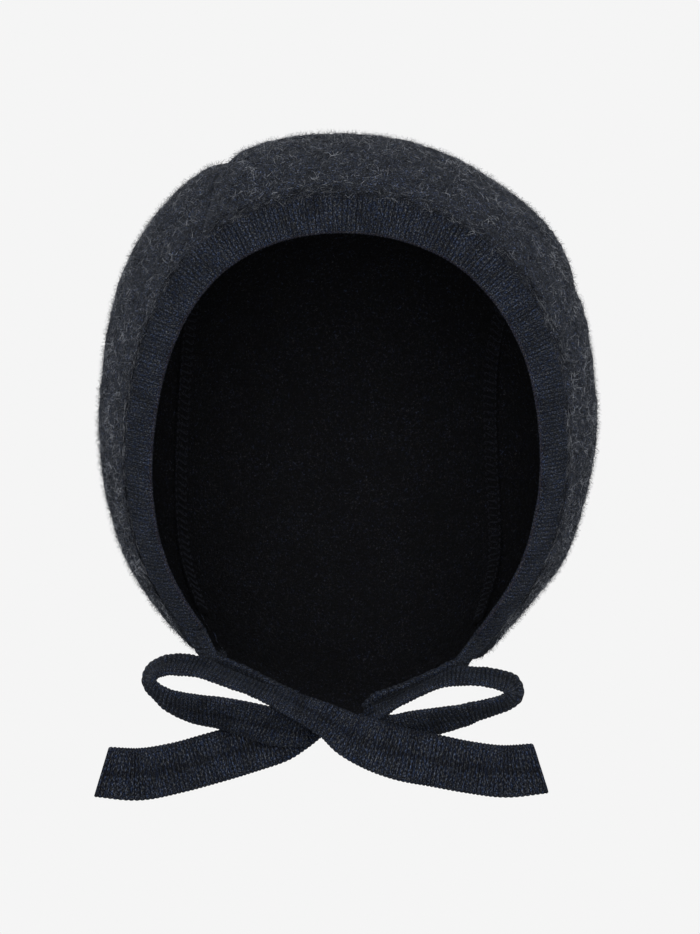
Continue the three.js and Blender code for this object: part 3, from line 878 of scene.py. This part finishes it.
def seam_piece(name, curve, node):
    """The overlocked seam inside: a soft ridge with threads over it, one each stitch."""
    cells = 420
    start, share = SEAM_SPAN
    length = curve.lengths[-1] * share
    mesh = grid_mesh(name, 16, cells)
    shares = get_points(mesh)[:, :2] + 0.5
    row = np.rint(shares[:, 1] * cells).astype(int)
    t = start + share * np.linspace(0, 1, cells + 1)
    middle, across_way, outer, _ = (v[row] for v in seam_frames(curve, t))
    turn = shares[:, 0] * math.tau
    across = -0.5 * np.cos(turn)
    up = 0.5 * np.sign(np.sin(turn)) * np.abs(np.sin(turn)) ** 0.6
    stitch = 0.5 + 0.5 * np.cos(math.tau * shares[:, 1] * length / STITCH)
    puff = 0.8 + 0.25 * stitch
    p = middle + across_way * (SEAM_WIDTH * across * (0.94 + 0.06 * stitch))[:, None]
    p = p + outer * (SEAM_THICKNESS * up * puff)[:, None]
    set_points(mesh, p * MM)
    close_tube(mesh)
    return piece(name, mesh, "brushed_wool", [node], inner_wool)


# The threads of a stitch: shares across and over the seam, size, and slant in radians.
STITCH_THREADS = (
    (0.0, 0.52, (3.9, 0.42, 0.42), 0.35),
    (-0.46, 0.4, (1.2, 0.5, 0.5), 1.45),
    (0.46, 0.4, (1.2, 0.5, 0.5), 1.45),
)


def seam_threads(name, curve, rng):
    """The ladder of thread over a seam: slanted bars and a dotted row on each side."""
    start, share = THREAD_SPAN
    count = int(curve.lengths[-1] * share / STITCH)
    t = start + share * (np.arange(count) + 0.5) / count
    middle, across, outer, along = seam_frames(curve, t)
    bm = bmesh.new()
    bmesh.ops.create_icosphere(bm, subdivisions=2, radius=0.5)
    bead = bpy.data.meshes.new("bead")
    bm.to_mesh(bead)
    bm.free()
    shape = get_points(bead)
    faces = np.array([list(f.vertices) for f in bead.polygons])
    bpy.data.meshes.remove(bead)
    inner = -outer
    parts = []
    for sideways, over, size, slant in STITCH_THREADS:
        angle = slant + rng.normal(0, 0.08, (count, 1))
        long = across * np.cos(angle) + along * np.sin(angle)
        wide = along * np.cos(angle) - across * np.sin(angle)
        centre = middle + across * SEAM_WIDTH * sideways + inner * SEAM_THICKNESS * over
        axes = np.stack([long, wide, inner], axis=1)
        parts.append(centre[:, None] + (shape * size) @ axes)
    points = np.concatenate(parts)
    corners = (np.arange(len(points))[:, None, None] * len(shape) + faces).ravel()
    mesh = mesh_of(name, points.reshape(-1, 3), corners, np.arange(0, len(corners), 3))
    mesh.validate()
    return piece(name, mesh, "brushed_wool", None, seam_thread)


def knot():
    """The lump of the knot, wound round with the ribbed strip."""
    bm = bmesh.new()
    bmesh.ops.create_uvsphere(bm, u_segments=96, v_segments=64, radius=1)
    mesh = bpy.data.meshes.new("bow_knot_wound")
    bm.to_mesh(mesh)
    bm.free()
    p = get_points(mesh)
    waist = 1 - KNOT_WAIST * bell(p[:, :1], 0.3)
    turn = np.arctan2(p[:, 2], p[:, 1])
    wales = 0.03 * (np.abs(np.sin(turn * 9 + 1.5 * p[:, 0])) ** 0.55 - 0.6)
    wraps = 0.05 * np.sin(p[:, 0] * 7 + 0.8 * np.sin(turn))
    size = (1 + (wales + wraps)[:, None]) * np.concatenate([np.ones_like(waist), waist, waist], axis=1)
    set_points(mesh, (p * size * KNOT_HALF + KNOT_CENTRE) * MM)
    bm = bmesh.new()
    bm.from_mesh(mesh)
    bmesh.ops.recalc_face_normals(bm, faces=bm.faces)
    uv = bm.loops.layers.uv.new("UVMap")
    for face in bm.faces:
        for loop in face.loops:
            c = loop.vert.co
            loop[uv].uv = (c.x * 100, c.z * 100)
    bm.to_mesh(mesh)
    bm.free()
    set_attribute(mesh, "edge", np.zeros(len(mesh.vertices)))
    set_attribute(mesh, "painted_groove_shade", np.zeros(len(mesh.vertices)))
    return piece("bow_knot_wound", mesh, "ribbed_wool", ["bow_knot"], ribbed_wool)


# Materials.


def put(tree, kind, inputs=None, **settings):
    """A shader node with its settings, and its inputs as values or as links."""
    made = tree.nodes.new(kind)
    for name, value in settings.items():
        setattr(made, name, value)
    for name, value in (inputs or {}).items():
        if isinstance(value, bpy.types.NodeSocket):
            tree.links.new(value, made.inputs[name])
        else:
            made.inputs[name].default_value = value
    return made


def mixed(tree, factor, a, b, blend="MIX"):
    """The result of a colour mix; a and b are colours or sockets."""
    made = put(tree, "ShaderNodeMix", data_type="RGBA", blend_type=blend)
    for index, value in ((0, factor), (6, a), (7, b)):
        if isinstance(value, bpy.types.NodeSocket):
            tree.links.new(value, made.inputs[index])
        elif index == 0:
            made.inputs[0].default_value = value
        else:
            made.inputs[index].default_value = (*value, 1)
    return made.outputs[2]


def ramp(tree, factor, *stops):
    made = put(tree, "ShaderNodeValToRGB", {"Fac": factor})
    elements = made.color_ramp.elements
    while len(elements) < len(stops):
        elements.new(0.5)
    for element, (at, colour) in zip(elements, stops):
        element.position = at
        element.color = (*colour, 1)
    return made.outputs["Color"]


def noise(tree, place, scale, detail, **more):
    inputs = {"Vector": place, "Scale": scale, "Detail": detail, **more}
    return put(tree, "ShaderNodeTexNoise", inputs).outputs["Fac"]


def spun_yarn_group():
    """Dark heather: flecks of black, navy, slate and grey, in drifting patches."""
    tree = bpy.data.node_groups.new("heather", "ShaderNodeTree")
    tree.interface.new_socket("Vector", in_out="INPUT", socket_type="NodeSocketVector")
    tree.interface.new_socket("Color", in_out="OUTPUT", socket_type="NodeSocketColor")
    tree.interface.new_socket("Height", in_out="OUTPUT", socket_type="NodeSocketFloat")
    place = put(tree, "NodeGroupInput").outputs["Vector"]
    fleck = noise(tree, place, 1.5, 2.5, Roughness=0.75)
    tone = noise(tree, place, 0.9, 2.0, Distortion=1.0)
    drift = noise(tree, place, 0.09, 3.0)
    flecks = ramp(
        tree, fleck,
        (0.36, (0.0032, 0.0035, 0.0048)), (0.47, (0.011, 0.012, 0.0165)),
        (0.56, (0.038, 0.042, 0.053)), (0.66, (0.170, 0.178, 0.200)),
    )
    tones = ramp(
        tree, tone,
        (0.38, (1.08, 1.0, 0.86)), (0.5, (0.98, 1.0, 1.06)), (0.62, (0.66, 0.88, 1.42)),
    )
    colour = mixed(tree, 1.0, flecks, tones, "MULTIPLY")
    patch = ramp(tree, drift, (0.35, (0.7, 0.7, 0.7)), (0.65, (1.3, 1.3, 1.3)))
    colour = mixed(tree, 1.0, colour, patch, "MULTIPLY")
    out = put(tree, "NodeGroupOutput")
    tree.links.new(colour, out.inputs["Color"])
    tree.links.new(fleck, out.inputs["Height"])
    return tree


def heather(tree, vector):
    made = put(tree, "ShaderNodeGroup", node_tree=heather_group)
    tree.links.new(vector, made.inputs["Vector"])
    return made.outputs["Color"], made.outputs["Height"]


def wool_material(name, roughness, sheen, sheen_tint):
    """A material whose shader is wool's: rough, hardly glossy, with a sheen of hairs."""
    material = bpy.data.materials.new(name)
    material.use_nodes = True
    tree = material.node_tree
    shader = tree.nodes["Principled BSDF"]
    shader.inputs["Roughness"].default_value = roughness
    shader.inputs["Specular IOR Level"].default_value = 0.1
    shader.inputs["Sheen Weight"].default_value = sheen
    shader.inputs["Sheen Roughness"].default_value = 0.45
    shader.inputs["Sheen Tint"].default_value = (*sheen_tint, 1)
    return material, tree, shader


def scaled(tree, coordinates, scale):
    return put(tree, "ShaderNodeMapping", {"Vector": coordinates, "Scale": scale}).outputs["Vector"]


def bumped(tree, shader, height, distance, strength):
    bump = put(tree, "ShaderNodeBump", {"Height": height, "Distance": distance, "Strength": strength})
    tree.links.new(bump.outputs["Normal"], shader.inputs["Normal"])


def shell_material(name, tint, sheen, fineness, painted_sheen_weight, evenness=0.0, even_colour=(0.0, 0.0, 0.0)):
    """Felt of curled fibres, evened towards one colour, with a painted sheen that makes the colour paler
    at grazing angles.
    """
    material, tree, shader = wool_material(name, 0.9, sheen, (0.55, 0.62, 0.75))
    here = put(tree, "ShaderNodeTexCoord").outputs["Object"]
    place = scaled(tree, here, (fineness * 1000,) * 3)
    colour, height = heather(tree, place)
    colour = mixed(tree, 1.0, colour, tint, "MULTIPLY")
    curls = noise(tree, place, 0.9, 4.0, Distortion=2.5)
    fibres = ramp(
        tree, curls,
        (0.40, (0.25, 0.25, 0.25)), (0.50, (0.9, 0.9, 0.9)), (0.60, (3.6, 3.6, 3.7)),
    )
    colour = mixed(tree, 1.0, colour, fibres, "MULTIPLY")
    colour = mixed(tree, evenness, colour, even_colour)
    # Painted sheen: towards grazing angles the colour is mixed towards a pale grey blue, so the rim looks
    # lit like fuzz catching light.
    grazing = put(tree, "ShaderNodeLayerWeight", {"Blend": 0.25}).outputs["Facing"]
    painted_rim_sheen = put(tree, "ShaderNodeMath", {0: grazing, 1: painted_sheen_weight}, operation="MULTIPLY").outputs[0]
    colour = mixed(tree, painted_rim_sheen, colour, (0.12, 0.128, 0.145))
    tree.links.new(colour, shader.inputs["Base Color"])
    both = put(tree, "ShaderNodeMath", {0: height, 1: curls}, operation="ADD").outputs[0]
    bumped(tree, shader, both, 0.0016, 1.0)
    return material


def rib_material():
    material, tree, shader = wool_material("ribbed_wool", 0.9, 0.03, (0.5, 0.58, 0.72))
    here = put(tree, "ShaderNodeTexCoord").outputs["UV"]
    place = scaled(tree, here, (12.0, 19.0, 10.0))
    colour, height = heather(tree, place)
    painted_groove_shade = put(tree, "ShaderNodeAttribute", attribute_name="painted_groove_shade").outputs["Fac"]
    colour = mixed(tree, 1.0, colour, (0.78, 0.82, 0.85), "MULTIPLY")
    # Painted shade: the colour goes towards near black in the rib's grooves and along a tie's middle
    # crease.
    colour = mixed(tree, painted_groove_shade, colour, (0.003, 0.0033, 0.0046))
    edge = put(tree, "ShaderNodeAttribute", attribute_name="edge").outputs["Fac"]
    colour = mixed(tree, edge, colour, (0.040, 0.012, 0.014))
    tree.links.new(colour, shader.inputs["Base Color"])
    bumped(tree, shader, height, 0.0003, 0.7)
    return material


def hair_material(name, dark, mid, pale):
    """Hairs take their colour from each one's own shade."""
    material, tree, shader = wool_material(name, 0.8, 0.08, (0.6, 0.66, 0.78))
    shade = put(tree, "ShaderNodeAttribute", attribute_name="shade").outputs["Fac"]
    colour = ramp(tree, shade, (0.05, dark), (0.4, mid), (0.95, pale))
    tree.links.new(colour, shader.inputs["Base Color"])
    return material


def thread_material():
    material, tree, shader = wool_material("seam_thread", 0.7, 0.1, (0.6, 0.66, 0.78))
    here = put(tree, "ShaderNodeTexCoord").outputs["Object"]
    place = scaled(tree, here, (1000, 1000, 1000))
    ply = noise(tree, place, 4.0, 2.0)
    colour = ramp(tree, ply, (0.35, (0.010, 0.011, 0.016)), (0.65, (0.030, 0.032, 0.044)))
    tree.links.new(colour, shader.inputs["Base Color"])
    bumped(tree, shader, ply, 0.0002, 0.6)
    return material


heather_group = spun_yarn_group()
# painted_sheen_weight sets how much painted sheen lightens a wool's colour at grazing angles.
brushed_wool = shell_material(
    "brushed_wool", tint=(0.64, 0.66, 0.70), sheen=0.1, fineness=1.5, painted_sheen_weight=0.5
)
inner_wool = shell_material(
    "inner_wool", tint=(0.38, 0.37, 0.38), sheen=0.0, fineness=1.0, painted_sheen_weight=0.0,
    evenness=0.75, even_colour=(0.0145, 0.0148, 0.0170),
)
ribbed_wool = rib_material()
wool_hair = hair_material("wool_hair", (0.004, 0.0045, 0.0065), (0.022, 0.025, 0.034), (0.40, 0.42, 0.46))
inner_hair = hair_material(
    "inner_hair", (0.006, 0.006, 0.007), (0.013, 0.0135, 0.016), (0.034, 0.036, 0.042)
)
seam_thread = thread_material()


# Camera, light and stage.

DISTANCE = 1.5  # metres from the bonnet's middle
VIEW_HEIGHT = 0.2743  # metres that the picture's long side takes in there
SENSOR = 36.0
CAMERA_SHIFT = (0.0006, -0.0018)  # metres right and up from the middle of the bonnet's box
BOWL_RADIUS = 4.0
FLOOR_HEIGHT = -2.6


def add_camera():
    low, high = (np.array(v) for v in cad_bounds)
    camera = bpy.data.objects.new("camera", bpy.data.cameras.new("camera"))
    bpy.context.scene.collection.objects.link(camera)
    camera.data.sensor_width = SENSOR
    camera.data.lens = SENSOR * DISTANCE / VIEW_HEIGHT
    middle = (low + high) / 2
    right, up = CAMERA_SHIFT
    camera.location = (middle[0] + right, -DISTANCE, middle[2] + up)
    camera.rotation_euler = (math.pi / 2, 0, 0)
    bpy.context.scene.camera = camera


def add_area(name, place, size, power):
    """A square soft light that looks at the bonnet's middle."""
    light = bpy.data.lights.new(name, "AREA")
    light.size = size
    light.energy = power
    obj = bpy.data.objects.new(name, light)
    bpy.context.scene.collection.objects.link(obj)
    obj.location = place
    aim = Vector((0, 0, -0.09)) - obj.location
    obj.rotation_euler = aim.to_track_quat("-Z", "Y").to_euler()


def add_stage():
    """A pale bowl far round the bonnet, even in colour, whose foot is the floor."""
    bm = bmesh.new()
    bmesh.ops.create_uvsphere(bm, u_segments=48, v_segments=32, radius=BOWL_RADIUS)
    for v in bm.verts:
        v.co.z = max(v.co.z, FLOOR_HEIGHT)
    bmesh.ops.remove_doubles(bm, verts=bm.verts, dist=1e-5)
    mesh = bpy.data.meshes.new("floor_bowl")
    bm.to_mesh(mesh)
    bm.free()
    bowl = bpy.data.objects.new("floor_bowl", mesh)
    bpy.context.scene.collection.objects.link(bowl)
    material = bpy.data.materials.new("pale_paper")
    material.use_nodes = True
    tree = material.node_tree
    tree.nodes.remove(tree.nodes["Principled BSDF"])
    seen = put(tree, "ShaderNodeEmission", {"Color": (0.913, 0.913, 0.913, 1), "Strength": 1.0})
    ambient = put(tree, "ShaderNodeEmission", {"Color": (0.94, 0.97, 1.0, 1), "Strength": 0.22})
    path = put(tree, "ShaderNodeLightPath")
    inputs = {0: path.outputs["Is Camera Ray"], 1: ambient.outputs[0], 2: seen.outputs[0]}
    both = put(tree, "ShaderNodeMixShader", inputs)
    tree.links.new(both.outputs[0], tree.nodes["Material Output"].inputs["Surface"])
    mesh.materials.append(material)


def add_lights():
    add_area("top_light", (0.0, 0.1, 1.3), 1.4, 3.5)
    add_area("left_light", (-1.3, -0.5, 0.1), 1.0, 6.0)
    add_area("right_light", (1.3, -0.5, 0.1), 1.0, 6.0)
    add_area("front_light", (0.0, -1.8, 0.1), 1.2, 18.0)
    add_area("back_light", (0.0, 1.5, 0.5), 1.2, 14.0)
    world = bpy.data.worlds.new("studio")
    bpy.context.scene.world = world
    world.use_nodes = True
    world.node_tree.nodes["Background"].inputs["Strength"].default_value = 0.0
    bpy.context.scene.view_settings.view_transform = "Standard"


# The bonnet.

add_camera()
add_stage()
add_lights()

left_direction = side_direction("left")
right_direction = side_direction("right")
panel("crown_panel_felt", centre_direction, (120, 220), "crown_panel")
panel("side_panel_left_felt", left_direction, (80, 80), "side_panel_left")
panel("side_panel_right_felt", right_direction, (80, 80), "side_panel_right")

nap("crown_nap", centre_direction, 39000, 1)
nap("side_nap_left", left_direction, 21000, 2)
nap("side_nap_right", right_direction, 17000, 3)
nap("crown_inner_nap", centre_direction, 24000, 4, inside=True)
fringe("crown_fringe", centre_direction, 4500, 5, "across")
fringe("side_fringe_left", left_direction, 3600, 6, "along")
fringe("side_fringe_right", right_direction, 2600, 7, "along")

band_line = rim_point(np.linspace(0, 1, 400))
band_length = float(np.linalg.norm(np.diff(band_line, axis=0), axis=-1).sum())
ribbed_strip("face_band_knit", band_frames, band_length, "face_band", sewn=True, red=(-1, 0.15))


def tie(name, stations, side, node, band=None, hems=(), gathers=(), red=(0, 0)):
    start = None if band is None else tie_start(band)
    length = float(SmoothCurve(points_of(stations)).lengths[-1])

    def frames_at(shares):
        return tie_frames(stations, side, shares, start)

    return ribbed_strip(name, frames_at, length, node, hems, gathers, red=red)


tie("tie_left_knit", LEFT_TIE, 1, "tie_left", band=0, gathers=[(30, 8)])
tie("tie_right_knit", RIGHT_TIE, -1, "tie_right", band=1, gathers=[(34, 8)])
tie("bow_front_knit", FRONT_BOW, 1, "bow_front", hems=[0], gathers=[(66, 8)], red=(1, 1))
tie("tail_left_knit", LEFT_TAIL, -1, "tail_left", hems=[0], gathers=[(62, 8)])
tie("loop_right_knit", RIGHT_LOOP, -1, "loop_right", gathers=[(2, 7)])
knot()

for side, curve in SEAM_CURVES.items():
    seam_piece(f"seam_{side}_overlock", curve, f"seam_{side}")
    seam_threads(f"seam_{side}_threads", curve, np.random.default_rng(50 + len(side)))
